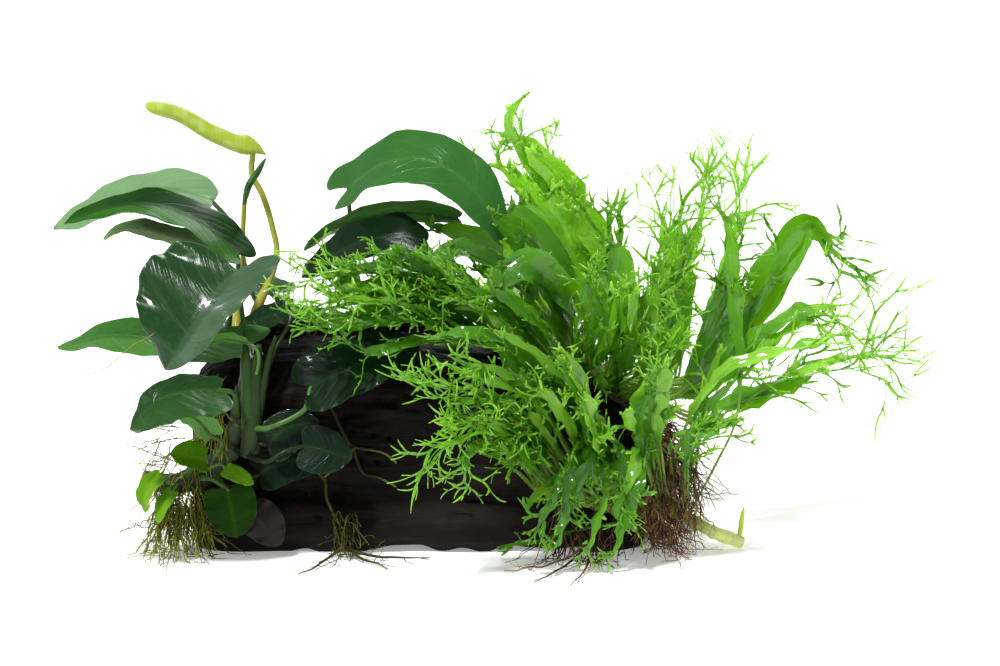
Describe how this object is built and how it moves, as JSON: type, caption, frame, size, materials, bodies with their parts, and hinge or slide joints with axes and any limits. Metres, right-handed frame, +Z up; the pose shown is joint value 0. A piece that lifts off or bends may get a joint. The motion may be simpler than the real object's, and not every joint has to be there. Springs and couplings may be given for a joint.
{
  "type": "aquarium plants on driftwood",
  "caption": "Lace java fern with forked frond tips and broad-leaved anubias, both growing on a dark, grooved driftwood log.",
  "frame": {"origin": "middle of the flat underside that the log rests on", "axes": "+X along the log, to the right as the plants face the viewer; +Y to the back; +Z up"},
  "size_m": [0.4413, 0.2351, 0.221],
  "materials": {
    "driftwood": "matte",
    "anubias_leaf": "gloss",
    "anubias_young_leaf": "satin",
    "anubias_old_leaf": "satin",
    "anubias_rhizome": "satin",
    "anubias_root": "matte",
    "fern_frond": "satin",
    "fern_rhizome": "satin",
    "fern_root": "matte"
  },
  "bodies": {
    "root": {"anubias_leaf_arching": "anubias_leaf", "anubias_leaf_back_left": "anubias_leaf", "anubias_leaf_back_mid": "anubias_leaf", "anubias_leaf_behind_stem": "anubias_leaf", "anubias_leaf_broad_front": "anubias_leaf", "anubias_leaf_curled_under": "anubias_leaf", "anubias_leaf_foot_outer": "anubias_leaf", "anubias_leaf_hooked": "anubias_leaf", "anubias_leaf_left": "anubias_leaf", "anubias_leaf_long": "anubias_leaf", "anubias_leaf_lower_left": "anubias_leaf", "anubias_leaf_mid_dark": "anubias_leaf", "anubias_leaf_mid_low": "anubias_leaf", "anubias_leaf_mid_under": "anubias_leaf", "anubias_leaf_old_brown": "anubias_old_leaf", "anubias_leaf_on_log": "anubias_leaf", "anubias_leaf_on_log_outer": "anubias_leaf", "anubias_leaf_on_log_top": "anubias_leaf", "anubias_leaf_over_log": "anubias_leaf", "anubias_leaf_pale_back": "anubias_leaf", "anubias_leaf_rolled_dark": "anubias_leaf", "anubias_leaf_rolled_pale": "anubias_young_leaf", "anubias_leaf_round": "anubias_leaf", "anubias_leaf_underside": "anubias_leaf", "anubias_leaf_young_cup": "anubias_young_leaf", "anubias_rhizome_front": "anubias_rhizome", "anubias_rhizome_top": "anubias_rhizome", "anubias_roots_front": "anubias_root", "anubias_roots_left": "anubias_root", "driftwood_log": "driftwood", "fern_frond_01": "fern_frond", "fern_frond_02": "fern_frond", "fern_frond_03": "fern_frond", "fern_frond_04": "fern_frond", "fern_frond_05": "fern_frond", "fern_frond_06": "fern_frond", "fern_frond_07": "fern_frond", "fern_frond_08": "fern_frond", "fern_frond_09": "fern_frond", "fern_frond_10": "fern_frond", "fern_frond_11": "fern_frond", "fern_frond_12": "fern_frond", "fern_frond_13": "fern_frond", "fern_frond_14": "fern_frond", "fern_frond_15": "fern_frond", "fern_frond_16": "fern_frond", "fern_frond_17": "fern_frond", "fern_frond_18": "fern_frond", "fern_frond_19": "fern_frond", "fern_frond_20": "fern_frond", "fern_frond_21": "fern_frond", "fern_frond_22": "fern_frond", "fern_frond_23": "fern_frond", "fern_frond_24": "fern_frond", "fern_frond_25": "fern_frond", "fern_rhizome_back": "fern_rhizome", "fern_rhizome_front": "fern_rhizome", "fern_rhizome_top": "fern_rhizome", "fern_roots_front": "fern_root", "fern_roots_right": "fern_root"}
  },
  "joints": []
}
